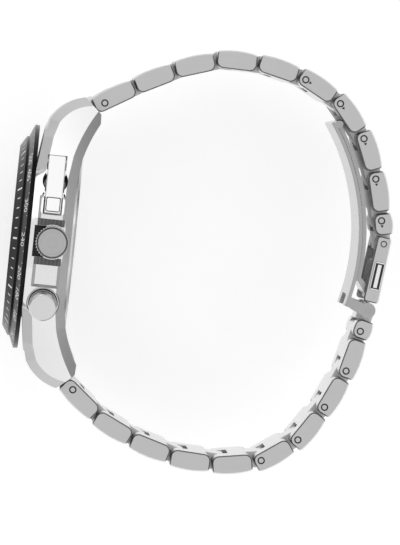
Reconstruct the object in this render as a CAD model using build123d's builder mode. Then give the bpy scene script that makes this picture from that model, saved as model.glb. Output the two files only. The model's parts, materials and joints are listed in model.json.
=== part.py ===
"""Steel chronograph wristwatch on its closed bracelet: the case, its works and the folding clasp.

The watch lies on its 9 o'clock flank. +Z points to 3 o'clock (the crown), -Y out of the dial,
+Y out of the case back, -X to 12 o'clock and +X to 6 o'clock. The origin is the centre of the
case back's outer face. Millimetres.
"""

import os
from math import atan2, cos, degrees, hypot, radians, sin, tan

from build123d import *

os.makedirs("parts", exist_ok=True)

# ---- driving dimensions: the head -------------------------------------------------------------
BEZEL_FRONT = -11.8          # Y of the bezel's front, which is also the watch's thickness
BEZEL_RADIUS = 21.2          # widest radius of the black bezel
BARREL_RADIUS = 21.6         # the case between its lugs, seen on the dial
FLANK_ANGLE = 16.0           # the flat flanks lean in towards the lug tips by this, in degrees
BARREL_REAR = -0.8           # Y of the face that the case back seats on
SEAT_FRONT = -8.5            # Y of the bezel seat
CASE_BACK_RADIUS = 18.3
BORE_RADIUS = 16.0           # the cavity for dial and movement
LIP_RADIUS = 15.2            # the dial opening
DIAL_FRONT = -8.0            # Y of the dial's face
DIAL_THICKNESS = 0.4
CRYSTAL_RADIUS = 15.9
CRYSTAL_FRONT = -11.7
CRYSTAL_REAR = -9.9
GASKET_RADIUS = 16.3         # outer radius of the crystal's gasket
CONTROL_Y = -4.8             # plane of the pushers' axes and middle of the guards
CROWN_Y = -4.3               # height of the crown's axis
FRONT_BEVEL = 1.8            # along the lugs, between their flanks and their front
REAR_BEVEL = 1.8             # the same along the rear

# ---- lugs and end links -----------------------------------------------------------------------
LUG_GAP = 22.0               # between the lugs, across the bracelet
LUG_END = 27.2               # X of the lug's furthest point
SPRING_BAR_X = 23.4
SPRING_BAR_Y = -0.7
SPRING_BAR_RADIUS = 0.75
SIDE_PLAY = 0.1              # between neighbours that turn beside each other

# ---- crown, guards, lever and pushers ---------------------------------------------------------
CROWN_RADIUS = 3.1
CROWN_FACE_RADIUS = 2.67
CROWN_INNER = 21.1           # Z of the crown's inner rim
CROWN_OUTER = 25.0           # Z of the crown's face
CROWN_TEETH = 34
CROWN_RECESS = 20.9          # Z of the flat that the crown turns over
STEM_RADIUS = 0.6
RUNNING_FIT = 0.04           # radial clearance of pins, stems and arbors
GUARD_HALF_LENGTH = 8.4
GUARD_HALF_WIDTH = 2.55
GUARD_TOP = 22.4
GRIP_INNER = 2.95            # the ribbed strips beside the crown
GRIP_OUTER = 4.25
LEVER_INNER = 20.6           # from the dial's axis, square to the flank
LEVER_OUTER = 22.15
LEVER_NEAR = -0.9            # along the flank, from the foot of that square towards 12
LEVER_FAR = 10.3
LEVER_PIN_ALONG = 9.4
LEVER_PIN_HEIGHT = 21.3
LEVER_WIDTH = 3.2
LEVER_PIN_RADIUS = 0.4
START_ALONG = 5.5            # the start pusher's axis, under the lever
RESET_ALONG = -5.7           # the reset pusher's axis, on the other flank

# ---- the works --------------------------------------------------------------------------------
MOVEMENT_RADIUS = 13.5
WORKS_REAR = -2.8
ARBOR_RADIUS = 0.35
SUBDIAL_OFFSET = 7.0
SUBDIAL_RADIUS = 3.6

# ---- the bracelet -----------------------------------------------------------------------------
PITCH = 7.9                  # from pin to pin
HALF_PITCH = 4.4             # the half link beside the clasp
LINK_LEAD = 1.3              # metal before the link's own pin
FIRST_LEAD = 2.0             # the same on the two links beside the head
LINK_GAP = 0.4               # air between two links
LINK_INNER = 1.35            # from the pin's axis to the wrist side
LINK_OUTER = 1.75            # from the pin's axis to the outer corners
LINK_DOME = 2.15             # from the pin's axis to the crown of the outer face
KNUCKLE_RADIUS = 1.72
KNUCKLE_HALF = 4.0           # half width of the centre row
WEB_START = 2.0              # from a link's pin to the metal behind its neighbour's knuckle
PIN_RADIUS = 0.5
PIN_RING = 0.7               # radius of the countersink round a pin's end
PIN_SINK = 0.3
WIDTH_AT_LUGS = 21.8
WIDTH_AT_CLASP = 18.0
UPPER_PIN = (-26.5, 3.0)
UPPER_HEADINGS = [31, 27, 18, -1, -13, -28.5, -50, -67.5, -76]
HALF_LINK_HEADING = -78.5
CLASP_HEADING = -97.0
LOWER_PIN = (27.3, 2.5)
LOWER_HEADINGS = [-39.5, -25.5, -16.5, -3, 9.5, 35, 56.5, 65, 76]

# ---- the folding clasp ------------------------------------------------------------------------
FRAME_LENGTH = 10.0          # from the frame's own pin to the blade's pin
EAR_PIN_STEP = 2.8           # from the blade's pin to the ears' pin
EAR_PIN_HEADING = -100.0
BLADE_CENTRE = (-3.9, 12.8)  # centre of the clasp's curve
PLATE_RADIUS = 40.2          # inner radius of the plate against the wrist
BLADE_RADIUS = 41.15         # inner radius of the middle blade
BLADE_THICKNESS = 0.7
FOLD_ANGLE = 34.0            # where the two blades are hinged, about the clasp's curve
FOLD_RADIUS = 41.55
FOLD_BARREL = 0.6            # radius of the barrel round the fold's pin
BLADE_BARREL = 0.9           # radius of the blade's barrel in the frame
PLATE_HALF = 9.0
BLADE_HALF = 6.6
CHEEK = 1.3                  # thickness of the frame's side walls
COVER = 0.55                 # thickness of the frame's outer wall
FRAME_OUTER = (1.3, 1.5)     # from the pins' axes to the outer wall, at the frame's two ends


def save(builder, name):
    """Labels a finished piece and writes it."""
    builder.part.label = name
    export_step(builder.part, f"parts/{name}.step")


def plan(y):
    """The plane across the watch's thickness at Y, whose normal points out of the dial."""
    return Plane.XZ.offset(-y)


def control_plane(angle, radius):
    """A plane on a control's own axis, which leaves the case at an angle towards 6 o'clock."""
    out = Vector(sin(radians(angle)), 0, cos(radians(angle)))
    return Plane(origin=(out.X * radius, CONTROL_Y, out.Z * radius), x_dir=(0, 1, 0), z_dir=out)


def heading_vector(heading):
    """A direction in the bracelet's plane: 0 points to the clasp and 90 to 12 o'clock."""
    return Vector(-sin(radians(heading)), cos(radians(heading)), 0)


def link_plane(pin, heading, outward):
    """A link's own plane: x along the bracelet, y out of the loop. outward is +1 on 12's side."""
    return Plane(origin=(pin[0], pin[1], 0), x_dir=heading_vector(heading), z_dir=(0, 0, outward))


def step(pin, heading, length):
    """The point that lies a length away from a pin."""
    way = heading_vector(heading)
    return (pin[0] + way.X * length, pin[1] + way.Y * length)


def clasp_point(radius, angle):
    """A point about the centre of the clasp's curve."""
    way = heading_vector(angle)
    return (BLADE_CENTRE[0] + way.X * radius, BLADE_CENTRE[1] + way.Y * radius)


# ================================ the head ======================================================
TUBE_RADIUS = 0.9
START_FLOOR = 18.2
RESET_FLOOR = 18.6
# the angle of each pusher's axis, its offset along the flank, its recess's radius and its floor
PUSHER_SEATS = [
    (-FLANK_ANGLE, START_ALONG, 2.35, START_FLOOR), (FLANK_ANGLE, RESET_ALONG, 3.05, RESET_FLOOR)
]

FOOT = (BARREL_RADIUS * sin(radians(FLANK_ANGLE)), BARREL_RADIUS * cos(radians(FLANK_ANGLE)))
LUG_TIP = FOOT[1] - (LUG_END - FOOT[0]) * tan(radians(FLANK_ANGLE))

with BuildPart() as case_middle:
    with BuildSketch(plan(4.0)):
        Circle(BARREL_RADIUS)
        with BuildLine():
            Polyline(FOOT, (LUG_END, LUG_TIP), (LUG_END, LUG_GAP / 2), (FOOT[0], LUG_GAP / 2), close=True)
        make_face()
        mirror(about=Plane.YZ)
        mirror(about=Plane.XZ)
    extrude(amount=4.0 - SEAT_FRONT)
    with BuildSketch(Plane.XY):
        with BuildLine():
            Polyline(
                (11.0, BARREL_REAR), (0, BARREL_REAR), (0, SEAT_FRONT), (13.0, SEAT_FRONT), (20.9, -7.5)
            )
            ThreePointArc((20.9, -7.5), (24.9, -5.0), (LUG_END, -0.7))
            Polyline((LUG_END, -0.7), (24.3, 2.5), (22.5, 2.6))
            ThreePointArc((22.5, 2.6), (19.4, 1.1), (15.8, -0.1))
            Line((15.8, -0.1), (11.0, BARREL_REAR))
        make_face()
        mirror(about=Plane.YZ)
    extrude(amount=30, both=True, mode=Mode.INTERSECT)
    flank_edges = case_middle.edges().filter_by(lambda e: abs(e.center().Z) > LUG_GAP / 2 + 0.5)
    lug_edges = flank_edges.filter_by(lambda e: 13.0 < abs(e.center().X) < LUG_END - 0.5)
    chamfer(lug_edges.filter_by(lambda e: e.center().Y < -2.0), FRONT_BEVEL)
    rear_edges = case_middle.edges().filter_by(lambda e: abs(e.center().Z) > LUG_GAP / 2 + 0.5)
    rear_edges = rear_edges.filter_by(lambda e: e.center().Y > -0.9 and abs(e.center().X) < 22.0)
    chamfer(rear_edges, REAR_BEVEL)
    with BuildSketch(Plane.XY.offset(16.5)):
        with Locations((0, CONTROL_Y)):
            Rectangle(2 * GUARD_HALF_LENGTH, 2 * GUARD_HALF_WIDTH)
    extrude(amount=GUARD_TOP - 16.5)
    chamfer(case_middle.faces().sort_by(Axis.Z)[-1].edges(), 0.55)
    with BuildSketch(Plane.XY.offset(CROWN_RECESS)):
        with Locations((0, CONTROL_Y)):
            Rectangle(2 * GRIP_OUTER, 2 * GUARD_HALF_WIDTH + 1)
        with Locations((0, CROWN_Y)):
            Circle(CROWN_RADIUS + 0.2)
    extrude(amount=4, mode=Mode.SUBTRACT)
    with BuildSketch(plan(4.0)):
        Circle(CASE_BACK_RADIUS + SIDE_PLAY)
    extrude(amount=4.0 - BARREL_REAR, mode=Mode.SUBTRACT)
    with BuildSketch(plan(BARREL_REAR)):
        Circle(BORE_RADIUS)
    extrude(amount=BARREL_REAR - DIAL_FRONT, mode=Mode.SUBTRACT)
    with BuildSketch(plan(DIAL_FRONT)):
        Circle(LIP_RADIUS)
    extrude(amount=DIAL_FRONT - SEAT_FRONT, mode=Mode.SUBTRACT)
    # the crown tube's hole
    with BuildSketch(Plane.XY.offset(14)):
        with Locations((0, CROWN_Y)):
            Circle(1.0)
    extrude(amount=8, mode=Mode.SUBTRACT)
    # the lever's groove, wider round its thumb end
    with BuildSketch(control_plane(-FLANK_ANGLE, LEVER_INNER - 0.8)):
        with Locations((0, (LEVER_NEAR + LEVER_FAR) / 2)):
            Rectangle(LEVER_WIDTH + 0.4, LEVER_FAR - LEVER_NEAR + 0.3)
        with Locations((0, LEVER_NEAR + 1.9)):
            RectangleRounded(LEVER_WIDTH + 1.2, 4.7, 0.8)
    extrude(amount=6, mode=Mode.SUBTRACT)
    # the two pushers' recesses and the holes for their tubes
    for seat, along, recess, depth in PUSHER_SEATS:
        with BuildSketch(control_plane(seat, depth)):
            with Locations((0, along)):
                Circle(recess)
        extrude(amount=9, mode=Mode.SUBTRACT)
        with BuildSketch(control_plane(seat, 13.0)):
            with Locations((0, along)):
                Circle(TUBE_RADIUS)
        extrude(amount=7, mode=Mode.SUBTRACT)
save(case_middle, "case_middle")

with BuildPart() as case_back:
    with BuildSketch(plan(0)):
        Circle(CASE_BACK_RADIUS)
    extrude(amount=-BARREL_REAR)
    chamfer(case_back.faces().sort_by(Axis.Y)[-1].edges(), 0.4)
    with BuildSketch(plan(BARREL_REAR)):
        Circle(BORE_RADIUS - 0.04)
        Circle(BORE_RADIUS - 1.2, mode=Mode.SUBTRACT)
    extrude(amount=1.4)
    with BuildSketch(plan(0)):
        with PolarLocations(16.6, 6):
            Rectangle(1.2, 2.2)
    extrude(amount=0.4, mode=Mode.SUBTRACT)
save(case_back, "case_back")

with BuildPart() as case_back_gasket:
    with BuildSketch(plan(WORKS_REAR + 0.5)):
        Circle(BORE_RADIUS - 0.04)
        Circle(BORE_RADIUS - 0.9, mode=Mode.SUBTRACT)
    extrude(amount=0.5)
save(case_back_gasket, "case_back_gasket")

with BuildPart() as bezel_outer_ring:
    with BuildSketch(Plane.XY):
        with BuildLine():
            Polyline(
                (LIP_RADIUS, CRYSTAL_REAR), (GASKET_RADIUS, CRYSTAL_REAR), (GASKET_RADIUS, -10.2),
                (19.1, -10.2), (BEZEL_RADIUS, -9.3), (BEZEL_RADIUS - 0.1, SEAT_FRONT),
                (LIP_RADIUS, SEAT_FRONT), close=True,
            )
        make_face()
    revolve(axis=Axis.Y)
save(bezel_outer_ring, "bezel_outer_ring")

with BuildPart() as bezel_front_ring:
    with BuildSketch(Plane.XY):
        with BuildLine():
            Polyline(
                (GASKET_RADIUS, -10.2), (GASKET_RADIUS, -11.5), (16.8, BEZEL_FRONT),
                (17.0, BEZEL_FRONT), (18.9, -10.6), (18.9, -10.2), close=True,
            )
        make_face()
    revolve(axis=Axis.Y)
save(bezel_front_ring, "bezel_front_ring")

with BuildPart() as crystal:
    with BuildSketch(plan(CRYSTAL_REAR)):
        Circle(CRYSTAL_RADIUS)
    extrude(amount=CRYSTAL_REAR - CRYSTAL_FRONT)
    chamfer(crystal.faces().sort_by(Axis.Y)[0].edges(), 0.25)
save(crystal, "crystal")

with BuildPart() as crystal_gasket:
    with BuildSketch(plan(CRYSTAL_REAR)):
        Circle(GASKET_RADIUS)
        Circle(CRYSTAL_RADIUS, mode=Mode.SUBTRACT)
    extrude(amount=1.5)
save(crystal_gasket, "crystal_gasket")

with BuildPart() as chapter_ring:
    with BuildSketch(Plane.XY):
        with BuildLine():
            Polyline(
                (LIP_RADIUS, DIAL_FRONT), (LIP_RADIUS, CRYSTAL_REAR), (LIP_RADIUS - 0.4, CRYSTAL_REAR),
                (LIP_RADIUS - 1.2, DIAL_FRONT), close=True,
            )
        make_face()
    revolve(axis=Axis.Y)
save(chapter_ring, "chapter_ring")

with BuildPart() as dial:
    with BuildSketch(plan(DIAL_FRONT + DIAL_THICKNESS)):
        Circle(BORE_RADIUS - 0.05)
        with Locations((-SUBDIAL_OFFSET, 0), (SUBDIAL_OFFSET, 0), (0, -SUBDIAL_OFFSET), (0, 0)):
            Circle(0.6, mode=Mode.SUBTRACT)
        with Locations((0, 11.2)):
            Rectangle(1.9, 2.4, mode=Mode.SUBTRACT)
    extrude(amount=DIAL_THICKNESS)
save(dial, "dial")

with BuildPart() as hour_markers:
    with BuildSketch(plan(DIAL_FRONT)):
        with PolarLocations(12.6, 12):
            SlotOverall(2.0, 0.7)
        with Locations((0, 12.6)):
            Rectangle(2.0, 2.2, mode=Mode.SUBTRACT)
    extrude(amount=0.3)
save(hour_markers, "hour_markers")

with BuildPart() as subdial_rings:
    with BuildSketch(plan(DIAL_FRONT)):
        with Locations((-SUBDIAL_OFFSET, 0), (SUBDIAL_OFFSET, 0), (0, -SUBDIAL_OFFSET)):
            Circle(SUBDIAL_RADIUS)
            Circle(SUBDIAL_RADIUS - 0.3, mode=Mode.SUBTRACT)
    extrude(amount=0.15)
save(subdial_rings, "subdial_rings")

with BuildPart() as movement:
    with BuildSketch(plan(WORKS_REAR)):
        Circle(MOVEMENT_RADIUS)
    extrude(amount=WORKS_REAR - DIAL_FRONT - DIAL_THICKNESS)
    with BuildSketch(plan(DIAL_FRONT + DIAL_THICKNESS)):
        Circle(ARBOR_RADIUS)
    extrude(amount=1.75)
    with BuildSketch(plan(DIAL_FRONT + DIAL_THICKNESS)):
        with Locations((-SUBDIAL_OFFSET, 0), (SUBDIAL_OFFSET, 0), (0, -SUBDIAL_OFFSET)):
            Circle(ARBOR_RADIUS * 0.6)
    extrude(amount=0.75)
    with BuildSketch(plan(WORKS_REAR)):
        with Locations((5.5, -5.5)):
            Circle(4.8)
    extrude(amount=2.2, mode=Mode.SUBTRACT)
    with BuildSketch(Plane.XY.offset(11.5)):
        with Locations((0, CROWN_Y)):
            Circle(0.75)
    extrude(amount=3, mode=Mode.SUBTRACT)
save(movement, "movement")

with BuildPart() as battery:
    with BuildSketch(plan(WORKS_REAR)):
        with Locations((5.5, -5.5)):
            Circle(4.75)
    extrude(amount=2.1)
save(battery, "battery")

with BuildPart() as movement_holder:
    with BuildSketch(plan(WORKS_REAR)):
        Circle(BORE_RADIUS - 0.05)
        Circle(MOVEMENT_RADIUS + 0.05, mode=Mode.SUBTRACT)
    extrude(amount=WORKS_REAR - DIAL_FRONT - DIAL_THICKNESS)
    for angle, along in ((-FLANK_ANGLE, START_ALONG), (0, 0), (FLANK_ANGLE, RESET_ALONG)):
        with BuildSketch(control_plane(angle, 11.0)):
            with Locations((0, along)):
                Circle(1.15)
        extrude(amount=6, mode=Mode.SUBTRACT)
save(movement_holder, "movement_holder")

# ================================ crown, lever and pushers ======================================
with BuildPart() as crown_tube:
    with BuildSketch(Plane.XY.offset(BORE_RADIUS)):
        with Locations((0, CROWN_Y)):
            Circle(1.0)
            Circle(STEM_RADIUS + RUNNING_FIT, mode=Mode.SUBTRACT)
    extrude(amount=CROWN_INNER + 1.6 - BORE_RADIUS)
save(crown_tube, "crown_tube")

with BuildPart() as crown:
    with BuildSketch(Plane.XY.offset(CROWN_INNER)):
        with Locations((0, CROWN_Y)):
            Circle(CROWN_RADIUS)
            with PolarLocations(CROWN_RADIUS + 0.02, CROWN_TEETH):
                Circle(0.2, mode=Mode.SUBTRACT)
    extrude(amount=CROWN_OUTER - CROWN_INNER - 0.35)
    with BuildSketch(Plane.XY.offset(CROWN_OUTER - 0.35)):
        with Locations((0, CROWN_Y)):
            Circle(CROWN_FACE_RADIUS)
    extrude(amount=0.35)
    face_edge = crown.edges().group_by(Axis.Z)[-1]
    chamfer(face_edge, 0.15)
    with BuildSketch(Plane.XY.offset(CROWN_OUTER)):
        with Locations((0, CROWN_Y)):
            Circle(2.15)
            Circle(1.95, mode=Mode.SUBTRACT)
            Circle(1.0)
            Circle(0.8, mode=Mode.SUBTRACT)
    extrude(amount=-0.12, mode=Mode.SUBTRACT)
    with BuildSketch(Plane.XY.offset(CROWN_INNER)):
        with Locations((0, CROWN_Y)):
            Circle(1.0 + 0.15)
    extrude(amount=1.9, mode=Mode.SUBTRACT)
save(crown, "crown")

with BuildPart() as winding_stem:
    with BuildSketch(Plane.XY.offset(12.2)):
        with Locations((0, CROWN_Y)):
            Circle(STEM_RADIUS)
    extrude(amount=CROWN_INNER + 1.9 - 12.2)
save(winding_stem, "winding_stem")

with BuildPart() as crown_grips:
    for side in (-1, 1):
        with BuildSketch(Plane.XY.offset(CROWN_RECESS)):
            with Locations((side * (GRIP_INNER + GRIP_OUTER) / 2, CONTROL_Y)):
                Rectangle(GRIP_OUTER - GRIP_INNER, 2 * GUARD_HALF_WIDTH - 0.1)
        extrude(amount=GUARD_TOP - CROWN_RECESS - 0.65)
        with BuildSketch(Plane.XY.offset(GUARD_TOP - 0.65)):
            with Locations((side * (GRIP_INNER + GRIP_OUTER) / 2, CONTROL_Y)):
                with GridLocations(1, 0.7, 1, 7):
                    Rectangle(GRIP_OUTER - GRIP_INNER, 0.35)
        extrude(amount=0.55)
    with BuildSketch(Plane.XY.offset(CROWN_RECESS)):
        with Locations((0, CROWN_Y)):
            Circle(CROWN_RADIUS + 0.15)
    extrude(amount=4, mode=Mode.SUBTRACT)
save(crown_grips, "crown_grips")

CAP_RADII = {"start": 1.9, "reset": 2.6}
PUSHER_STEM_INNER = 13.6

with BuildPart() as pusher_tubes:
    for (seat, along, recess, floor), cap, collar in zip(PUSHER_SEATS, CAP_RADII.values(), (1.3, 2.6)):
        with BuildSketch(control_plane(seat, 16.0)):
            with Locations((0, along)):
                Circle(TUBE_RADIUS)
                Circle(0.5 + RUNNING_FIT, mode=Mode.SUBTRACT)
        extrude(amount=floor - 15.9)
        with BuildSketch(control_plane(seat, floor)):
            with Locations((0, along)):
                Circle(cap + 0.36)
                Circle(cap + RUNNING_FIT, mode=Mode.SUBTRACT)
        extrude(amount=collar)
save(pusher_tubes, "pusher_tubes")


def pusher(name, seat, along, cap_from, cap_to):
    """A push piece: its cap outside the case, and the stem that works the movement."""
    with BuildPart() as piece:
        with BuildSketch(control_plane(seat, cap_from)):
            with Locations((0, along)):
                Circle(CAP_RADII[name])
        extrude(amount=cap_to - cap_from)
        chamfer(piece.faces().sort_by(Axis.Z)[-1].edges(), 0.25)
        with BuildSketch(control_plane(seat, PUSHER_STEM_INNER)):
            with Locations((0, along)):
                Circle(0.5)
        extrude(amount=cap_from - PUSHER_STEM_INNER)
    return piece


start_pusher = pusher("start", -FLANK_ANGLE, START_ALONG, 19.0, LEVER_INNER - 0.05)
save(start_pusher, "start_pusher")
reset_pusher = pusher("reset", FLANK_ANGLE, RESET_ALONG, 19.9, 24.3)
save(reset_pusher, "reset_pusher")

with BuildPart() as pusher_springs:
    for seat, along, recess, floor in PUSHER_SEATS:
        with BuildSketch(control_plane(seat, floor + 0.12)):
            with Locations((0, along)):
                Circle(1.5)
                Circle(1.05, mode=Mode.SUBTRACT)
        extrude(amount=0.25)
save(pusher_springs, "pusher_springs")

with BuildPart() as start_lever:
    with BuildSketch(control_plane(-FLANK_ANGLE, LEVER_INNER)):
        with Locations((0, (LEVER_NEAR + LEVER_FAR) / 2)):
            RectangleRounded(LEVER_WIDTH, LEVER_FAR - LEVER_NEAR, 0.35)
    extrude(amount=LEVER_OUTER - LEVER_INNER)
    chamfer(start_lever.faces().sort_by(Axis.Z)[-1].edges(), 0.15)
    # the thumb pad's groove, at the lever's free end
    with BuildSketch(control_plane(-FLANK_ANGLE, LEVER_OUTER)):
        with Locations((0, LEVER_NEAR + 1.75)):
            RectangleRounded(2.7, 2.8, 0.3)
            RectangleRounded(2.35, 2.45, 0.25, mode=Mode.SUBTRACT)
    extrude(amount=-0.3, mode=Mode.SUBTRACT)
    pin_origin = control_plane(-FLANK_ANGLE, LEVER_PIN_HEIGHT).from_local_coords((0, LEVER_PIN_ALONG, 0))
    with BuildSketch(plan(CONTROL_Y + LEVER_WIDTH)):
        with Locations((pin_origin.X, pin_origin.Z)):
            Circle(LEVER_PIN_RADIUS + RUNNING_FIT)
    extrude(amount=2 * LEVER_WIDTH, mode=Mode.SUBTRACT)
save(start_lever, "start_lever")

with BuildPart() as lever_pin:
    with BuildSketch(plan(CONTROL_Y + LEVER_WIDTH / 2 + 0.15)):
        with Locations((pin_origin.X, pin_origin.Z)):
            Circle(LEVER_PIN_RADIUS)
    extrude(amount=LEVER_WIDTH + 0.3)
save(lever_pin, "lever_pin")

# ================================ the hands =====================================================
# name, centre, the hand's rear face, its length towards 12 and its width at the hub
HANDS = [
    ("hour_hand", (0, 0), -8.35, 8.3, 1.3),
    ("minute_hand", (0, 0), -8.7, 12.6, 1.1),
    ("chronograph_hand", (0, 0), -9.05, 13.4, 0.4),
    ("subdial_hand_12", (-SUBDIAL_OFFSET, 0), -8.1, 2.8, 0.35),
    ("subdial_hand_6", (SUBDIAL_OFFSET, 0), -8.1, 2.8, 0.35),
    ("subdial_hand_9", (0, -SUBDIAL_OFFSET), -8.1, 2.8, 0.35),
]
for name, centre, rear, reach, width in HANDS:
    arbor = ARBOR_RADIUS if centre == (0, 0) else ARBOR_RADIUS * 0.6
    with BuildPart() as hand:
        with BuildSketch(plan(rear)):
            with BuildLine():
                half = [(0.25 * reach, width / 4), (-0.3 * reach, width / 2), (-reach, width / 8)]
                mirrored = [(x, -z) for x, z in reversed(half)]
                Polyline([(centre[0] + x, centre[1] + z) for x, z in half + mirrored], close=True)
            make_face()
            with Locations(centre):
                Circle(arbor + 0.4)
                Circle(arbor + RUNNING_FIT, mode=Mode.SUBTRACT)
        extrude(amount=0.18)
    save(hand, name)

# ================================ end links and spring bars =====================================
def end_link(side, pin, heading):
    """The fixed link between the lugs, with the knuckle that carries the first link's pin."""
    room = FIRST_LEAD + LINK_GAP
    with BuildPart() as piece:
        with BuildSketch(Plane.XY):
            with BuildLine():
                Polyline((side * 20.5, -1.0), (side * 20.5, -7.4))
                ThreePointArc((side * 20.5, -7.4), (side * 24.6, -4.9), (side * 26.9, -0.9))
                Polyline(
                    (side * 26.9, -0.9), (side * 27.6, 0.5), (side * 25.4, 2.0),
                    (side * 24.2, 1.6), (side * 20.5, -1.0),
                )
            make_face()
        extrude(amount=LUG_GAP / 2 - SIDE_PLAY / 2, both=True)
        with BuildSketch(link_plane(pin, heading, -side)):
            with BuildLine():
                Polyline((-4.5, 1.5), (-4.5, -0.6), (-1.0, -LINK_INNER), (0.9, -LINK_INNER))
                ThreePointArc((0.9, -LINK_INNER), (KNUCKLE_RADIUS, 0.1), (0.3, KNUCKLE_RADIUS - 0.05))
                Line((0.3, KNUCKLE_RADIUS - 0.05), (-4.5, 1.5))
            make_face()
        extrude(amount=KNUCKLE_HALF, both=True)
        with BuildSketch(plan(5)):
            Circle(BARREL_RADIUS + 0.02)
        extrude(amount=15, mode=Mode.SUBTRACT)
        with BuildSketch(Plane.XY):
            with Locations((side * SPRING_BAR_X, SPRING_BAR_Y)):
                Circle(SPRING_BAR_RADIUS)
            with Locations(pin):
                Circle(PIN_RADIUS + RUNNING_FIT)
        extrude(amount=15, both=True, mode=Mode.SUBTRACT)
        # room for the first link's outer pieces
        for face in (1, -1):
            with BuildSketch(link_plane(pin, heading, -side).offset(face * KNUCKLE_HALF)):
                with Locations((5.0, 0)):
                    Rectangle(2 * (5.0 + room), 8)
            extrude(amount=face * 10, mode=Mode.SUBTRACT)
    return piece


end_link_12 = end_link(-1, UPPER_PIN, UPPER_HEADINGS[0])
save(end_link_12, "end_link_12")
end_link_6 = end_link(1, LOWER_PIN, LOWER_HEADINGS[0])
save(end_link_6, "end_link_6")

with BuildPart() as spring_bars:
    with BuildSketch(Plane.XY):
        with Locations((-SPRING_BAR_X, SPRING_BAR_Y), (SPRING_BAR_X, SPRING_BAR_Y)):
            Circle(SPRING_BAR_RADIUS - 0.02)
    extrude(amount=LUG_GAP / 2 - 0.1, both=True)
save(spring_bars, "spring_bars")


# ================================ the bracelet's links ==========================================
def link(pin, heading, outward, width, pitch, lead=LINK_LEAD, open_seat=0.0):
    """One link with its own pin: outer pieces, web, and the centre knuckle round the next pin.

    open_seat shortens the knuckle to a flat seat that far in front of the next pin's centre.
    """
    rear = pitch - LINK_LEAD - LINK_GAP - (0.25 if open_seat else 0.0)
    plane = link_plane(pin, heading, outward)
    with BuildPart() as piece:
        with BuildSketch(plane) as outline:
            with BuildLine():
                ThreePointArc((rear, LINK_OUTER), ((rear - lead) / 2, LINK_DOME), (-lead, LINK_OUTER))
                Polyline((-lead, LINK_OUTER), (-lead, -LINK_INNER), (rear, -LINK_INNER), (rear, LINK_OUTER))
            make_face()
            fillet(outline.vertices().group_by(Axis.Y)[0], LINK_LEAD - 0.02)
            fillet(outline.vertices().group_by(Axis.Y)[-1], 0.55)
        extrude(amount=width / 2, both=True)
        sides = piece.faces().filter_by(Axis.Z)
        chamfer(sides.edges(), 0.22)
        with BuildSketch(plane):
            with Locations((WEB_START - 4, 0)):
                Rectangle(8, 8)
        extrude(amount=KNUCKLE_HALF + SIDE_PLAY, both=True, mode=Mode.SUBTRACT)
        web = max(rear - 1.5, WEB_START)
        with BuildSketch(plane):
            with BuildLine():
                if open_seat:
                    Polyline(
                        (web, -LINK_INNER), (open_seat, -LINK_INNER), (open_seat, LINK_OUTER),
                        (web, LINK_OUTER), close=True,
                    )
                else:
                    Polyline((web, LINK_OUTER), (web, -LINK_INNER), (pitch + 0.9, -LINK_INNER))
                    ThreePointArc(
                        (pitch + 0.9, -LINK_INNER), (pitch + KNUCKLE_RADIUS, 0.1),
                        (pitch + 0.3, KNUCKLE_RADIUS - 0.05),
                    )
                    Line((pitch + 0.3, KNUCKLE_RADIUS - 0.05), (web, LINK_OUTER))
            make_face()
        extrude(amount=KNUCKLE_HALF, both=True)
        if not open_seat:
            with BuildSketch(plane):
                with Locations((pitch, 0)):
                    Circle(PIN_RADIUS + RUNNING_FIT)
            extrude(amount=KNUCKLE_HALF, both=True, mode=Mode.SUBTRACT)
        with BuildSketch(plane):
            Circle(PIN_RADIUS + 0.01)
        extrude(amount=width / 2, both=True, mode=Mode.SUBTRACT)
        for face in (1, -1):
            with BuildSketch(plane.offset(face * (width / 2 - PIN_SINK))):
                Circle(PIN_RING)
            extrude(amount=face * PIN_SINK, mode=Mode.SUBTRACT)
        with BuildSketch(plane):
            Circle(PIN_RADIUS)
        extrude(amount=width / 2 - 0.08, both=True)
    return piece


def link_width(index):
    """The bracelet tapers evenly from the lugs to the clasp."""
    return WIDTH_AT_LUGS - (WIDTH_AT_LUGS - WIDTH_AT_CLASP) * index / len(UPPER_HEADINGS)


pin = UPPER_PIN
for index, heading in enumerate(UPPER_HEADINGS):
    piece = link(pin, heading, 1, link_width(index), PITCH, LINK_LEAD if index else FIRST_LEAD)
    save(piece, f"upper_link_{index + 1}")
    pin = step(pin, heading, PITCH)
upper_half_link = link(pin, HALF_LINK_HEADING, 1, WIDTH_AT_CLASP, HALF_PITCH)
save(upper_half_link, "upper_half_link")
FRAME_PIN = step(pin, HALF_LINK_HEADING, HALF_PITCH)
BLADE_PIN = step(FRAME_PIN, CLASP_HEADING, FRAME_LENGTH)
EAR_PIN = step(BLADE_PIN, EAR_PIN_HEADING, EAR_PIN_STEP)

pin = LOWER_PIN
for index, heading in enumerate(LOWER_HEADINGS):
    piece = link(pin, heading, -1, link_width(index), PITCH, LINK_LEAD if index else FIRST_LEAD)
    save(piece, f"lower_link_{index + 1}")
    pin = step(pin, heading, PITCH)
SEAT_REACH = hypot(EAR_PIN[0] - pin[0], EAR_PIN[1] - pin[1])
SEAT_HEADING = degrees(atan2(-(EAR_PIN[0] - pin[0]), EAR_PIN[1] - pin[1]))
lower_half_link = link(
    pin, SEAT_HEADING, -1, WIDTH_AT_CLASP, SEAT_REACH, open_seat=SEAT_REACH - PIN_RADIUS - 0.3
)
save(lower_half_link, "lower_half_link")

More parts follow.
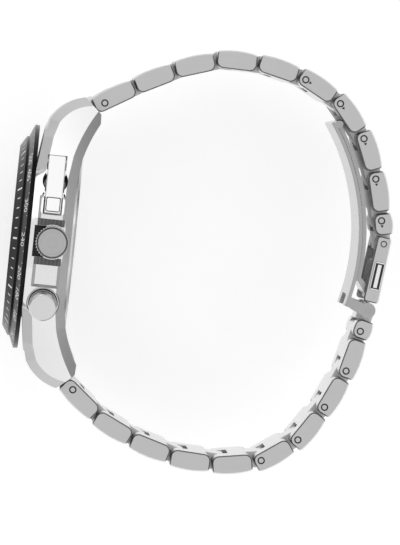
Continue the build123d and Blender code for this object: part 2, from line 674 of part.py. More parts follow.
# ================================ the folding clasp =============================================
frame_plane = link_plane(FRAME_PIN, CLASP_HEADING, 1)
FRAME_REAR = FRAME_LENGTH + 1.2
with BuildPart() as clasp_frame:
    with BuildSketch(frame_plane) as outline:
        with BuildLine():
            Polyline(
                (-LINK_LEAD, -LINK_INNER), (FRAME_REAR, -LINK_INNER), (FRAME_REAR, FRAME_OUTER[1]),
                (-LINK_LEAD, FRAME_OUTER[0]), close=True,
            )
        make_face()
        fillet(outline.vertices().group_by(Axis.X)[0], 0.6)
        fillet(outline.vertices().group_by(Axis.X)[-1], 0.6)
    extrude(amount=WIDTH_AT_CLASP / 2, both=True)
    chamfer(clasp_frame.faces().filter_by(Axis.Z).edges(), 0.2)
    # the hollow that takes the folded blades, open to the wrist
    with BuildSketch(frame_plane):
        with Locations((6.5, -LINK_INNER)):
            Rectangle(11.0, 2 * (LINK_INNER + FRAME_OUTER[1] - COVER))
    extrude(amount=WIDTH_AT_CLASP / 2 - CHEEK, both=True, mode=Mode.SUBTRACT)
    with BuildSketch(frame_plane):
        with Locations((-2.0, 0)):
            Rectangle(8, 8)
    extrude(amount=KNUCKLE_HALF + SIDE_PLAY, both=True, mode=Mode.SUBTRACT)
    # the windows of the push buttons, through both side walls
    with BuildSketch(frame_plane):
        with Locations((6.15, 0.15)):
            RectangleRounded(5.4, 2.0, 0.5)
        with Locations((FRAME_LENGTH, 0)):
            Circle(PIN_RADIUS + 0.01)
        Circle(PIN_RADIUS + 0.01)
    extrude(amount=WIDTH_AT_CLASP / 2, both=True, mode=Mode.SUBTRACT)
    with BuildSketch(frame_plane):
        with Locations((FRAME_LENGTH, 0)):
            Circle(PIN_RADIUS)
        Circle(PIN_RADIUS)
    extrude(amount=WIDTH_AT_CLASP / 2 - 0.08, both=True)
save(clasp_frame, "clasp_frame")

for name, side in (("clasp_button_3", 1), ("clasp_button_9", -1)):
    with BuildPart() as button:
        with BuildSketch(frame_plane.offset(side * (WIDTH_AT_CLASP / 2 - CHEEK - 0.25))):
            with Locations((6.15, 0.15)):
                RectangleRounded(5.3, 1.9, 0.45)
        extrude(amount=side * (CHEEK + 0.55))
    save(button, name)

fold_pin = clasp_point(FOLD_RADIUS, FOLD_ANGLE)
with BuildPart() as clasp_blade:
    with BuildSketch(Plane.XY):
        with BuildLine():
            outer = CenterArc(BLADE_CENTRE, BLADE_RADIUS + BLADE_THICKNESS, 90 - 8.0, FOLD_ANGLE + 8.0)
            inner = CenterArc(BLADE_CENTRE, BLADE_RADIUS, 90 - 8.0, FOLD_ANGLE + 8.0)
            Line(outer @ 0, inner @ 0)
            Line(outer @ 1, inner @ 1)
        make_face()
        with Locations(BLADE_PIN):
            Circle(BLADE_BARREL)
        with BuildLine():
            Polyline(
                clasp_point(BLADE_RADIUS, -7.6), clasp_point(BLADE_RADIUS + BLADE_THICKNESS, -6.9),
                (BLADE_PIN[0] - 0.8, BLADE_PIN[1] + 0.2), (BLADE_PIN[0] + 0.1, BLADE_PIN[1] - 0.88),
                close=True,
            )
        make_face()
        with Locations(fold_pin):
            Circle(FOLD_BARREL)
    extrude(amount=BLADE_HALF, both=True)
    with BuildSketch(Plane.XY):
        with Locations(BLADE_PIN):
            Circle(PIN_RADIUS + RUNNING_FIT)
        with Locations(fold_pin):
            Circle(0.3 + RUNNING_FIT)
    extrude(amount=BLADE_HALF, both=True, mode=Mode.SUBTRACT)
save(clasp_blade, "clasp_blade")

EAR_ANGLE = -15.2
with BuildPart() as clasp_plate:
    with BuildSketch(Plane.XY):
        with BuildLine():
            outer = CenterArc(BLADE_CENTRE, PLATE_RADIUS + 0.7, 90 + EAR_ANGLE, FOLD_ANGLE - EAR_ANGLE + 1.2)
            inner = CenterArc(BLADE_CENTRE, PLATE_RADIUS, 90 + EAR_ANGLE, FOLD_ANGLE - EAR_ANGLE + 1.2)
            Line(outer @ 0, inner @ 0)
            Line(outer @ 1, inner @ 1)
        make_face()
    extrude(amount=PLATE_HALF, both=True)
    # the notch that lets the lower half link's knuckle pass
    with BuildSketch(Plane.XY):
        with Locations(EAR_PIN):
            Circle(4.7)
    extrude(amount=KNUCKLE_HALF + 0.3, both=True, mode=Mode.SUBTRACT)
    # the ears that carry the lower half link's pin
    for side in (1, -1):
        with BuildSketch(Plane.XY.offset(side * (KNUCKLE_HALF + 0.3))):
            with BuildLine():
                Polyline(
                    clasp_point(PLATE_RADIUS + 0.3, EAR_ANGLE + 0.3), clasp_point(PLATE_RADIUS + 0.3, -12.6),
                    (EAR_PIN[0] - 1.2, EAR_PIN[1] - 0.7), (EAR_PIN[0] + 1.3, EAR_PIN[1] - 0.6), close=True,
                )
            make_face()
            with Locations(EAR_PIN):
                Circle(1.45)
        extrude(amount=side * (PLATE_HALF - KNUCKLE_HALF - 0.3))
        with BuildSketch(Plane.XY.offset(side * (BLADE_HALF + 0.1))):
            with Locations(fold_pin):
                Circle(FOLD_BARREL)
            with BuildLine():
                Polyline(
                    clasp_point(PLATE_RADIUS + 0.4, FOLD_ANGLE - 0.8),
                    clasp_point(PLATE_RADIUS + 0.4, FOLD_ANGLE + 0.8),
                    clasp_point(FOLD_RADIUS, FOLD_ANGLE + 0.8),
                    clasp_point(FOLD_RADIUS, FOLD_ANGLE - 0.8), close=True,
                )
            make_face()
        extrude(amount=side * (PLATE_HALF - BLADE_HALF - 0.1))
    with BuildSketch(Plane.XY):
        with Locations(EAR_PIN):
            Circle(PIN_RADIUS + 0.01)
        with Locations(fold_pin):
            Circle(0.31)
    extrude(amount=PLATE_HALF, both=True, mode=Mode.SUBTRACT)
    with BuildSketch(Plane.XY):
        with Locations(EAR_PIN):
            Circle(PIN_RADIUS)
        with Locations(fold_pin):
            Circle(0.3)
    extrude(amount=PLATE_HALF - 0.08, both=True)
save(clasp_plate, "clasp_plate")
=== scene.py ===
import json
import math

import bmesh
import bpy
from mathutils import Matrix, Vector


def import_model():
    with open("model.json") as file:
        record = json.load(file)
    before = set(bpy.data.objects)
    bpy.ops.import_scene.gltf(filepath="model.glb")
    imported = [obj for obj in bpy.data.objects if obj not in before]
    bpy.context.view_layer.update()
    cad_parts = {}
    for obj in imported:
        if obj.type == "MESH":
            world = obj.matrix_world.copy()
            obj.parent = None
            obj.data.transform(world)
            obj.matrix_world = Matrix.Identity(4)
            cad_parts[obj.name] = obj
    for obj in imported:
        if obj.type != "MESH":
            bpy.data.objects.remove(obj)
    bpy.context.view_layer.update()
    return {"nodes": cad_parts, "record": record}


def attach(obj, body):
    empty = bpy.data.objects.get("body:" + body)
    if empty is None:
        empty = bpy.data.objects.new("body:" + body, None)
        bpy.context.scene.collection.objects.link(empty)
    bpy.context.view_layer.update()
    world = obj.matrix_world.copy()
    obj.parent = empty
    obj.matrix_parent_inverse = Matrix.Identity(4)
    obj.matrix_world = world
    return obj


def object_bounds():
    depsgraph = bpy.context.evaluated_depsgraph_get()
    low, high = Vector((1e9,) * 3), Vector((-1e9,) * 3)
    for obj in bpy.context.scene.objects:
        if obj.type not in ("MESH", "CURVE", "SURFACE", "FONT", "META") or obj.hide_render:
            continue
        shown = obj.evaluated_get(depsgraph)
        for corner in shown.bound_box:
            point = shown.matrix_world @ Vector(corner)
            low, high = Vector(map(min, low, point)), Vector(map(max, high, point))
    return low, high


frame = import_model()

MM = 0.001

# ---- places on the watch, in millimetres, in the CAD frame ------------------------------------
# -Y is out of the dial, +Z is 3 o'clock, -X is 12 o'clock
FRONT_TIER = ((17.0, -11.8), (18.9, -10.6))      # (radius, Y) of the bezel's inner slope
OUTER_SLOPE = ((19.1, -10.2), (21.2, -9.3))      # (radius, Y) of the bezel's outer slope
DIAL_FRONT = -8.0
CHAPTER_SLOPE = ((14.0, -8.0), (14.8, -9.9))
SUBDIALS = ((-7.0, 0.0), (7.0, 0.0), (0.0, -7.0))     # (X, Z) of their centres: 12, 6 and 9
LOOP_CENTRE = (0.0, 24.0)                        # X, Y about which the bracelet is brushed
PRINT = 0.02                                     # thickness of printed marks
ARC_STEP = 0.6                                   # longest straight piece of a curved mark
DATE_PLACE = 11.2                                # from the dial's centre to the date window
LUME_RADIUS = 12.6                               # middle of the hour markers' fillings
SUBDIAL_MARK_RADIUS = 3.0
MINUTE_MARK_RADIUS = 13.75

# ---- the bracelet and the controls -------------------------------------------------------------
WIDTH_AT_LUGS = 21.8
TAPER = 3.8                                      # narrowing from the first link to the clasp
HALF_LINK_INDEX = 9                              # the half links stand tenth in their chains
CONTROL_Y = -4.8                                 # the lever and the pushers
CROWN_Y = -4.3
FLANK_ANGLE = 16.0                               # of the case's flanks to 3 o'clock, in degrees
GROOVE_FLOOR = 19.82                             # heights along the controls' own axes
PUSHER_SEAT = 19.52
PAD_FACE = 21.93
COLLAR_FACE = 21.21
START_SEAT = 5.5                                 # distances along the flanks
RESET_SEAT = -5.7
CROWN_RECESS = 20.91
CROWN_FACE = 24.66
BUTTON_FACE = 9.3


# ================================ node helpers ==================================================
class Nodes:
    """Builds a material's node tree with short calls."""

    def __init__(self, name):
        self.material = bpy.data.materials.new(name)
        self.material.use_nodes = True
        self.tree = self.material.node_tree
        self.shader = self.tree.nodes["Principled BSDF"]

    def add(self, kind, **settings):
        node = self.tree.nodes.new(kind)
        for key, value in settings.items():
            setattr(node, key, value)
        return node

    def link(self, source, target):
        self.tree.links.new(source, target)

    def set(self, **values):
        for key, value in values.items():
            self.shader.inputs[key.replace("_", " ")].default_value = value

    def position(self):
        return self.add("ShaderNodeTexCoord").outputs["Object"]

    def math(self, operation, a, b=None):
        node = self.add("ShaderNodeMath", operation=operation)
        for socket, value in zip(node.inputs, (a, b)):
            if value is None:
                continue
            if isinstance(value, (int, float)):
                socket.default_value = value
            else:
                self.link(value, socket)
        return node.outputs[0]

    def noise(self, vector, scale, detail=3.0, stretch=(1, 1, 1)):
        mapping = self.add("ShaderNodeMapping")
        mapping.inputs["Scale"].default_value = stretch
        self.link(vector, mapping.inputs["Vector"])
        node = self.add("ShaderNodeTexNoise")
        node.inputs["Scale"].default_value = scale
        node.inputs["Detail"].default_value = detail
        self.link(mapping.outputs[0], node.inputs["Vector"])
        return node.outputs["Fac"]

    def ramp(self, value, stops):
        node = self.add("ShaderNodeValToRGB")
        node.color_ramp.elements[0].position = stops[0][0]
        node.color_ramp.elements[0].color = (*stops[0][1], 1)
        node.color_ramp.elements[1].position = stops[-1][0]
        node.color_ramp.elements[1].color = (*stops[-1][1], 1)
        for place, colour in stops[1:-1]:
            node.color_ramp.elements.new(place).color = (*colour, 1)
        self.link(value, node.inputs[0])
        return node.outputs[0]

    def spread(self, value, low, high):
        node = self.add("ShaderNodeMapRange")
        node.inputs["To Min"].default_value = low
        node.inputs["To Max"].default_value = high
        self.link(value, node.inputs["Value"])
        return node.outputs[0]

    def bump(self, height, strength, distance):
        node = self.add("ShaderNodeBump")
        node.inputs["Strength"].default_value = strength
        node.inputs["Distance"].default_value = distance
        self.link(height, node.inputs["Height"])
        self.link(node.outputs[0], self.shader.inputs["Normal"])


def grey(value):
    return (value, value, value)


# ================================ materials =====================================================
COATING_TONE = 0.004


def steel(name, flat, edge, band=(0.9, 0.97), grain_scale=9000, turned=False):
    """Steel whose faces square to Z have one finish and whose other faces have another.

    flat and edge are each a tone and a roughness. turned brushes it about the dial's axis.
    """
    n = Nodes(name)
    n.set(Metallic=1.0)
    coords = n.add("ShaderNodeTexCoord")
    facing = n.add("ShaderNodeSeparateXYZ")
    n.link(coords.outputs["Normal"], facing.inputs[0])
    mask = n.add("ShaderNodeMapRange")
    mask.inputs["From Min"].default_value = band[0]
    mask.inputs["From Max"].default_value = band[1]
    n.link(n.math("ABSOLUTE", facing.outputs[2]), mask.inputs["Value"])
    split = n.add("ShaderNodeSeparateXYZ")
    n.link(coords.outputs["Object"], split.inputs[0])
    second = 2 if turned else 1
    x = n.math("SUBTRACT", split.outputs[0], 0.0 if turned else LOOP_CENTRE[0] * MM)
    y = n.math("SUBTRACT", split.outputs[second], 0.0 if turned else LOOP_CENTRE[1] * MM)
    radius = n.math("SQRT", n.math("ADD", n.math("MULTIPLY", x, x), n.math("MULTIPLY", y, y)))
    join = n.add("ShaderNodeCombineXYZ")
    n.link(radius, join.inputs[0])
    n.link(n.math("MULTIPLY", n.math("ARCTAN2", y, x), 0.0006), join.inputs[1])
    n.link(split.outputs[3 - second], join.inputs[2])
    grain = n.noise(join.outputs[0], grain_scale, 3)
    cloud = n.noise(coords.outputs["Object"], 130, 2)
    tone = n.math("ADD", edge[0], n.math("MULTIPLY", mask.outputs[0], flat[0] - edge[0]))
    worn = n.math("ADD", n.math("MULTIPLY", grain, 0.16), n.math("MULTIPLY", cloud, 0.06))
    n.link(n.math("MULTIPLY", tone, n.math("ADD", worn, 0.89)), n.shader.inputs["Base Color"])
    rough = n.math("ADD", edge[1], n.math("MULTIPLY", mask.outputs[0], flat[1] - edge[1]))
    uneven = n.math("ADD", n.math("MULTIPLY", grain, 0.4), 0.8)
    n.link(n.math("MULTIPLY", rough, uneven), n.shader.inputs["Roughness"])
    n.bump(grain, 0.04, 0.00001)
    return n.material


def black_coating():
    """Satin black plating with a fine circular brushing about the dial's axis."""
    n = Nodes("black_coating")
    split = n.add("ShaderNodeSeparateXYZ")
    n.link(n.position(), split.inputs[0])
    x, z = split.outputs[0], split.outputs[2]
    radius = n.math("SQRT", n.math("ADD", n.math("MULTIPLY", x, x), n.math("MULTIPLY", z, z)))
    join = n.add("ShaderNodeCombineXYZ")
    n.link(radius, join.inputs[0])
    n.link(split.outputs[1], join.inputs[1])
    grain = n.noise(join.outputs[0], 7000, 3)
    n.set(Metallic=0.75)
    tones = [(0.3, grey(COATING_TONE * 0.7)), (0.75, grey(COATING_TONE * 1.9))]
    n.link(n.ramp(grain, tones), n.shader.inputs["Base Color"])
    n.link(n.spread(grain, 0.22, 0.36), n.shader.inputs["Roughness"])
    n.bump(grain, 0.1, 0.00001)
    return n.material


def plain(name, colour, rough, metallic=0.0, scale=400.0, vary=0.12, bump=0.05):
    n = Nodes(name)
    n.set(Metallic=metallic)
    cloud = n.noise(n.position(), scale, 4)
    dark = tuple(c * (1 - vary) for c in colour)
    n.link(n.ramp(cloud, [(0.3, dark), (0.7, colour)]), n.shader.inputs["Base Color"])
    n.link(n.spread(cloud, rough * 0.8, rough * 1.2), n.shader.inputs["Roughness"])
    n.bump(cloud, bump, 0.00001)
    return n.material


def glass():
    n = Nodes("sapphire")
    n.set(IOR=1.6, Base_Color=(0.97, 0.985, 1.0, 1))
    n.shader.inputs["Transmission Weight"].default_value = 1.0
    cloud = n.noise(n.position(), 90, 2)
    n.link(n.spread(cloud, 0.0, 0.02), n.shader.inputs["Roughness"])
    return n.material


def link_steel(name, painted_inward_tone):
    """A link's steel: satin side faces, and edges with painted light by the way they face the
    loop: painted highlights on the outer edges, painted dark reflection square to the loop and a
    set painted tone on the edges towards the wrist.
    """
    n = Nodes(name)
    n.set(Metallic=1.0)
    coords = n.add("ShaderNodeTexCoord")
    normal = n.add("ShaderNodeSeparateXYZ")
    n.link(coords.outputs["Normal"], normal.inputs[0])
    place = n.add("ShaderNodeSeparateXYZ")
    n.link(coords.outputs["Object"], place.inputs[0])
    x = n.math("SUBTRACT", place.outputs[0], LOOP_CENTRE[0] * MM)
    y = n.math("SUBTRACT", place.outputs[1], LOOP_CENTRE[1] * MM)
    radius = n.math("SQRT", n.math("ADD", n.math("MULTIPLY", x, x), n.math("MULTIPLY", y, y)))
    along_x = n.math("MULTIPLY", x, normal.outputs[0])
    along_y = n.math("MULTIPLY", y, normal.outputs[1])
    along = n.math("ADD", along_x, along_y)
    outward = n.math("ADD", n.math("MULTIPLY", n.math("DIVIDE", along, radius), 0.5), 0.5)
    # painted reflection: the tone of the non-flat faces is set by which way they turn from the
    # loop's centre. Faces towards the wrist get the painted inward tone, faces square to the loop
    # are dark and outward faces are bright.
    edge = n.ramp(outward, [
        (0.0, grey(painted_inward_tone)), (0.06, grey(painted_inward_tone)), (0.13, grey(0.30)), (0.30, grey(0.30)),
        (0.5, grey(0.26)), (0.68, grey(0.42)), (0.80, grey(0.92)), (1.0, grey(0.88)),
    ])
    mask = n.add("ShaderNodeMapRange")
    mask.inputs["From Min"].default_value = 0.93
    mask.inputs["From Max"].default_value = 0.98
    n.link(n.math("ABSOLUTE", normal.outputs[2]), mask.inputs["Value"])
    join = n.add("ShaderNodeCombineXYZ")
    n.link(radius, join.inputs[0])
    n.link(n.math("MULTIPLY", n.math("ARCTAN2", y, x), 0.0006), join.inputs[1])
    n.link(place.outputs[2], join.inputs[2])
    grain = n.noise(join.outputs[0], 9000, 3)
    cloud = n.noise(coords.outputs["Object"], 160, 3)
    flat = n.math("ADD", 0.50, n.math("MULTIPLY", n.math("ADD", grain, cloud), 0.045))
    rest = n.math("SUBTRACT", 1.0, mask.outputs[0])
    tone = n.math("ADD", n.math("MULTIPLY", mask.outputs[0], flat), n.math("MULTIPLY", rest, edge))
    n.link(tone, n.shader.inputs["Base Color"])
    n.link(n.spread(grain, 0.26, 0.36), n.shader.inputs["Roughness"])
    n.bump(grain, 0.04, 0.00001)
    return n.material


CASE_STEEL = steel("case_steel", (0.82, 0.14), (0.54, 0.30), (0.93, 0.95), turned=True)
# the link steel's edges carry painted reflections. Its copy for the links at the clasp paints
# their wrist-side edges nearly black as painted shade.
LINK_STEEL = link_steel("link_steel", 0.78)
SHADED_CLASP_LINK_STEEL = link_steel("link_steel_at_clasp", 0.06)
SATIN = steel("satin_steel", (0.86, 0.30), (0.62, 0.22), turned=True)
PUSHER_STEEL = steel("pusher_steel", (0.68, 0.32), (0.66, 0.22), turned=True)
BACK_STEEL = steel("back_steel", (0.7, 0.2), (0.66, 0.26), turned=True)
BLADE_STEEL = steel("blade_steel", (0.42, 0.26), (0.33, 0.16), grain_scale=2600)
TRIM = steel("plated_trim", (0.80, 0.16), (0.80, 0.12))
KNURL_STEEL = steel("knurled_steel", (0.46, 0.34), (0.30, 0.26), turned=True)
DARK_STEEL = steel("dark_grip_steel", (0.15, 0.40), (0.06, 0.45))
# painted shadow: a near-black material for sheets laid in grooves, gaps and recesses where there
# is only shade
SHADOW = plain("painted_recess_shadow", (0.012, 0.012, 0.012), 0.6, 0.0, 1500)
BLACK = black_coating()
GLASS = glass()
DIAL = plain("dial_black", (0.010, 0.011, 0.014), 0.34, 0.2, 1800)
CHAPTER = plain("chapter_black", (0.016, 0.016, 0.018), 0.5, 0.0, 1500)
RUBBER = plain("gasket_rubber", (0.03, 0.03, 0.03), 0.75, 0.0, 900)
BRASS = plain("movement_brass", (0.62, 0.48, 0.22), 0.32, 1.0, 700)
NYLON = plain("holder_nylon", (0.62, 0.62, 0.60), 0.55, 0.0, 500)
RED = plain("hand_red", (0.55, 0.02, 0.012), 0.3, 0.0, 1200)
WHITE = plain("print_white", (0.80, 0.80, 0.78), 0.5, 0.0, 1500, 0.05)
LUME = plain("lume", (0.70, 0.76, 0.66), 0.6, 0.0, 1500, 0.08)

BY_NODE = {
    "bezel_outer_ring": BLACK, "bezel_front_ring": BLACK, "crystal": GLASS, "dial": DIAL,
    "chapter_ring": CHAPTER, "crystal_gasket": RUBBER, "case_back_gasket": RUBBER,
    "movement": BRASS, "movement_holder": NYLON, "chronograph_hand": RED,
    "crown_grips": DARK_STEEL, "crown": KNURL_STEEL, "case_back": BACK_STEEL, "start_lever": SATIN,
    "case_middle": CASE_STEEL, "end_link_12": CASE_STEEL, "end_link_6": CASE_STEEL,
    "start_pusher": PUSHER_STEEL, "reset_pusher": PUSHER_STEEL, "pusher_tubes": PUSHER_STEEL,
    "clasp_blade": BLADE_STEEL, "clasp_plate": BLADE_STEEL,
    "clasp_frame": SHADED_CLASP_LINK_STEEL, "upper_link_7": SHADED_CLASP_LINK_STEEL,
    "upper_link_8": SHADED_CLASP_LINK_STEEL, "upper_link_9": SHADED_CLASP_LINK_STEEL,
    "upper_half_link": SHADED_CLASP_LINK_STEEL,
}
BY_SLOT = {"polished_steel": SATIN, "brushed_steel": LINK_STEEL, "plated_trim": TRIM}


def dress_cad_nodes():
    slots = {row["node"]: row["material_slot"] for row in frame["record"]["subparts"]}
    for node, obj in frame["nodes"].items():
        material = BY_NODE.get(node) or BY_SLOT.get(slots.get(node), LINK_STEEL)
        for place in obj.material_slots:
            place.material = material


dress_cad_nodes()

# ================================ printed marks =================================================
def slope_point(slope, angle, along, across, lift):
    """A point on a cone about the dial's axis.

    angle runs clockwise from 12, along is the distance round the cone, across the distance up its
    slope from the middle and lift the height over it.
    """
    (r0, y0), (r1, y1) = slope
    length = math.hypot(r1 - r0, y1 - y0)
    ur, uy = (r1 - r0) / length, (y1 - y0) / length
    radius = (r0 + r1) / 2 + ur * across + uy * lift
    y = (y0 + y1) / 2 + uy * across - ur * lift
    turn = math.radians(angle) + along / radius
    return Vector((-math.cos(turn) * radius, y, math.sin(turn) * radius)) * MM


def finish_piece(mesh_data, name, body, material):
    obj = bpy.data.objects.new(name, mesh_data)
    bpy.context.scene.collection.objects.link(obj)
    mesh_data.materials.clear()
    mesh_data.materials.append(material)
    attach(obj, body)
    return obj


def block(bm, slope, angle, across, size):
    """Adds one raised mark: size is its length round the ring and up the slope."""
    steps = max(1, int(size[0] / ARC_STEP))
    rows = []
    for k in range(steps + 1):
        a = size[0] * (k / steps - 0.5)
        row = []
        for c, h in ((-0.5, 0.0), (-0.5, PRINT), (0.5, PRINT), (0.5, 0.0)):
            row.append(bm.verts.new(slope_point(slope, angle, a, across + c * size[1], h)))
        rows.append(row)
    for first, second in zip(rows, rows[1:]):
        for k in range(4):
            bm.faces.new((first[k], second[k], second[(k + 1) % 4], first[(k + 1) % 4]))
    bm.faces.new(rows[0])
    bm.faces.new(rows[-1][::-1])


def mesh_from(bm, name):
    bmesh.ops.recalc_face_normals(bm, faces=bm.faces)
    data = bpy.data.meshes.new(name)
    bm.to_mesh(data)
    bm.free()
    return data


def text_mesh(text, height):
    """Flat letters of the built-in face, centred, with a little thickness along +Z."""
    curve = bpy.data.curves.new("text", "FONT")
    curve.body = text
    curve.align_x = "CENTER"
    curve.align_y = "CENTER"
    curve.size = height * 1.4
    curve.extrude = PRINT / 2
    curve.resolution_u = 3
    holder = bpy.data.objects.new("text", curve)
    bpy.context.scene.collection.objects.link(holder)
    data = bpy.data.meshes.new_from_object(holder)
    bpy.data.objects.remove(holder)
    return data


def lettering(name, words, slope, height, across, body, material):
    """Words round a ring: pairs of an angle and a text."""
    bm = bmesh.new()
    for angle, text in words:
        part = text_mesh(text, height)
        for vertex in part.vertices:
            x, y, z = vertex.co
            vertex.co = slope_point(slope, angle, x, across + y, z + PRINT / 2)
        bm.from_mesh(part)
    return finish_piece(mesh_from(bm, name), name, body, material)


def tick_ring(name, slope, marks, body, material):
    """Marks round a ring: (angle, across, (length, width))."""
    bm = bmesh.new()
    for angle, across, size in marks:
        block(bm, slope, angle, across, size)
    return finish_piece(mesh_from(bm, name), name, body, material)


# tachymeter values stand where a lap of that many seconds ends
SPEEDS = [500, 400, 300, 240, 200, 180, 160, 140, 130, 120, 110, 100, 90, 80, 75, 70, 65, 60]
words = [(3600 / speed * 6, str(speed)) for speed in SPEEDS]
lettering("bezel_numbers", words, OUTER_SLOPE, 1.3, 0.05, "case", WHITE)
dots = [(angle, 0.92, (0.2, 0.16)) for angle in range(0, 360, 6)]
tick_ring("bezel_dots", OUTER_SLOPE, dots, "case", WHITE)
LONG_TICK = (0.34, 1.35)     # length round the ring, height up the slope
SHORT_TICK = (0.2, 0.8)
marks = []
for minute in range(60):
    long_mark = minute % 5 == 0
    marks.append((minute * 6, 0.15, LONG_TICK if long_mark else SHORT_TICK))
tick_ring("bezel_ticks", FRONT_TIER, marks, "case", WHITE)

marks = [(quarter * 1.5, 0.0, (0.1, 1.2 if quarter % 4 == 0 else 0.6)) for quarter in range(240)]
tick_ring("chapter_ticks", CHAPTER_SLOPE, marks, "case", WHITE)

# ================================ inlays and small details ======================================
CIRCLE_SIDES = 32


def circle(radius, a=0.0, b=0.0):
    turns = [2 * math.pi * k / CIRCLE_SIDES for k in range(CIRCLE_SIDES)]
    return [(a + radius * math.cos(t), b + radius * math.sin(t)) for t in turns]


def oblong(a0, b0, a1, b1):
    return [(a0, b0), (a1, b0), (a1, b1), (a0, b1)]


def sheet(bm, place, outer, inner=None):
    """A thin closed sheet between two loops of points. place puts (a, b, height) in the frame."""
    low, high = (
        [[bm.verts.new(place(a, b, h)) for a, b in loop] for loop in (outer, inner) if loop]
        for h in (0.0, PRINT)
    )
    count = len(outer)
    for ring, top in zip(low, high):
        for k in range(count):
            bm.faces.new((ring[k], ring[(k + 1) % count], top[(k + 1) % count], top[k]))
    for level in (low, high):
        if inner:
            for k in range(count):
                second = (k + 1) % count
                bm.faces.new((level[0][k], level[0][second], level[1][second], level[1][k]))
        else:
            bm.faces.new(level[0])


def side_place(x, y, side, z, turn=0.0):
    """Sheets parallel to the watch's side, over or under the part."""
    c, s = math.cos(turn), math.sin(turn)
    return lambda a, b, h: Vector((x + a * c - b * s, y + a * s + b * c, side * (z + h))) * MM


def flank_place(angle, height):
    """Sheets square to a control's axis: a runs along the flank and b towards the case back."""
    turn = math.radians(angle)
    out = Vector((math.sin(turn), 0, math.cos(turn)))
    along = Vector((-math.cos(turn), 0, math.sin(turn)))
    return lambda a, b, h: (out * (height + h) + along * a + Vector((0, CONTROL_Y + b, 0))) * MM


def dial_place(x, z, y):
    """Sheets that lie on the dial at X, Z and Y, rising towards the crystal."""
    return lambda a, b, h: Vector((x + a, y - h, z + b)) * MM


def inlay(name, body, material, sheets):
    bm = bmesh.new()
    for place, outer, inner in sheets:
        sheet(bm, place, outer, inner)
    return finish_piece(mesh_from(bm, name), name, body, material)


joints = {row["child"]: row for row in frame["record"]["behaviour"]["joints"]}
PLAIN_ENDS = {f"upper_link_{k}" for k in (2, 3, 4, 5)} | {f"lower_link_{k}" for k in (2, 3, 4, 5)}
ARROWS = {"upper_link_6", "upper_link_7", "upper_link_8", "upper_link_9", "upper_half_link"}
chain = [f"upper_link_{k}" for k in range(1, 10)] + ["upper_half_link", "clasp_frame"]
chain += [f"lower_link_{k}" for k in range(1, 10)] + ["lower_half_link"]
for node in chain:
    x, y = (1000 * v for v in joints[node]["pos_m"][:2])
    index = int(node[-1]) - 1 if node[-1].isdigit() else HALF_LINK_INDEX
    half = (WIDTH_AT_LUGS - TAPER * index / HALF_LINK_INDEX) / 2
    if node in PLAIN_ENDS:
        sheets = [(side_place(x, y, side, half - 0.03), circle(0.71), None) for side in (1, -1)]
        inlay(node + "_pin_caps", node, LINK_STEEL, sheets)
        continue
    # painted shadow: dark rings round the pin ends, laid in their grooves
    sheets = []
    for side in (1, -1):
        if node != "clasp_frame":
            sheets.append((side_place(x, y, side, half - 0.1), circle(0.69), circle(0.44)))
        else:
            sheets.append((side_place(x, y, side, half), circle(0.62), circle(0.44)))
    inlay(node + "_pin_ring_shadows", node, SHADOW, sheets)
    if node in ARROWS:
        after = chain[chain.index(node) + 1]
        nx, ny = (1000 * v for v in joints[after]["pos_m"][:2])
        turn = math.atan2(ny - y, nx - x)
        arrow = [(0.85, -0.32), (1.35, 0.0), (0.85, 0.32)]
        place = side_place(x, y, 1, half, turn)
        inlay(node + "_arrow", node, SHADOW, [(place, arrow, None)])

# painted shadows in the lever's groove, its pusher's recess and the groove round its thumb pad
floor_place = flank_place(-FLANK_ANGLE, GROOVE_FLOOR)
seat_place = flank_place(-FLANK_ANGLE, PUSHER_SEAT)
sheets = [
    (floor_place, oblong(-1.0, -1.75, 2.9, 1.75), None),
    (floor_place, oblong(8.1, -1.75, 10.4, 1.75), None),
    (seat_place, circle(2.33, START_SEAT), circle(1.96, START_SEAT)),
]
inlay("lever_groove_shadow", "case", SHADOW, sheets)
pad = flank_place(-FLANK_ANGLE, PAD_FACE)
sheets = [(pad, oblong(-0.53, -1.33, 2.23, 1.33), oblong(-0.36, -1.19, 2.06, 1.19))]
inlay("lever_pad_groove_shadow", "start_lever", SHADOW, sheets)

# painted shadows on the flat that the crown turns over, in the ring round the crown's face and in
# the rings round the reset pusher
crown_place = side_place(0, 0, 1, CROWN_RECESS)
sheets = [(crown_place, oblong(-2.9, -7.75, 2.9, -5.5), None)]
inlay("crown_recess_shadow", "case", SHADOW, sheets)
crown_top = side_place(0, CROWN_Y, 1, CROWN_FACE)
inlay("crown_face_shadow_ring", "crown", SHADOW, [(crown_top, circle(2.86), circle(2.6))])
collar = flank_place(FLANK_ANGLE, COLLAR_FACE)
sheets = [
    (collar, circle(3.04, RESET_SEAT), circle(2.92, RESET_SEAT)),
    (collar, circle(2.74, RESET_SEAT), circle(2.61, RESET_SEAT)),
]
inlay("reset_collar_shadow_rings", "case", SHADOW, sheets)

# dark frames of painted shadow round the clasp's push buttons
frame_x, frame_y = (1000 * v for v in joints["clasp_frame"]["pos_m"][:2])
next_x, next_y = (1000 * v for v in joints["clasp_blade"]["pos_m"][:2])
frame_turn = math.atan2(next_y - frame_y, next_x - frame_x)
for node, side in (("clasp_button_3", 1), ("clasp_button_9", -1)):
    place = side_place(frame_x, frame_y, side, BUTTON_FACE, frame_turn)
    sheets = [(place, oblong(3.72, -0.65, 8.58, 0.95), oblong(3.95, -0.2, 8.35, 0.5))]
    inlay(node + "_gap_shadow", node, SHADOW, sheets)

# luminous fillings, the sub-dials' marks and the date
def spoke(radius, turn, outline):
    """An outline moved out by radius and turned about the centre."""
    c, s = math.cos(turn), math.sin(turn)
    return [((radius + a) * c - b * s, (radius + a) * s + b * c) for a, b in outline]


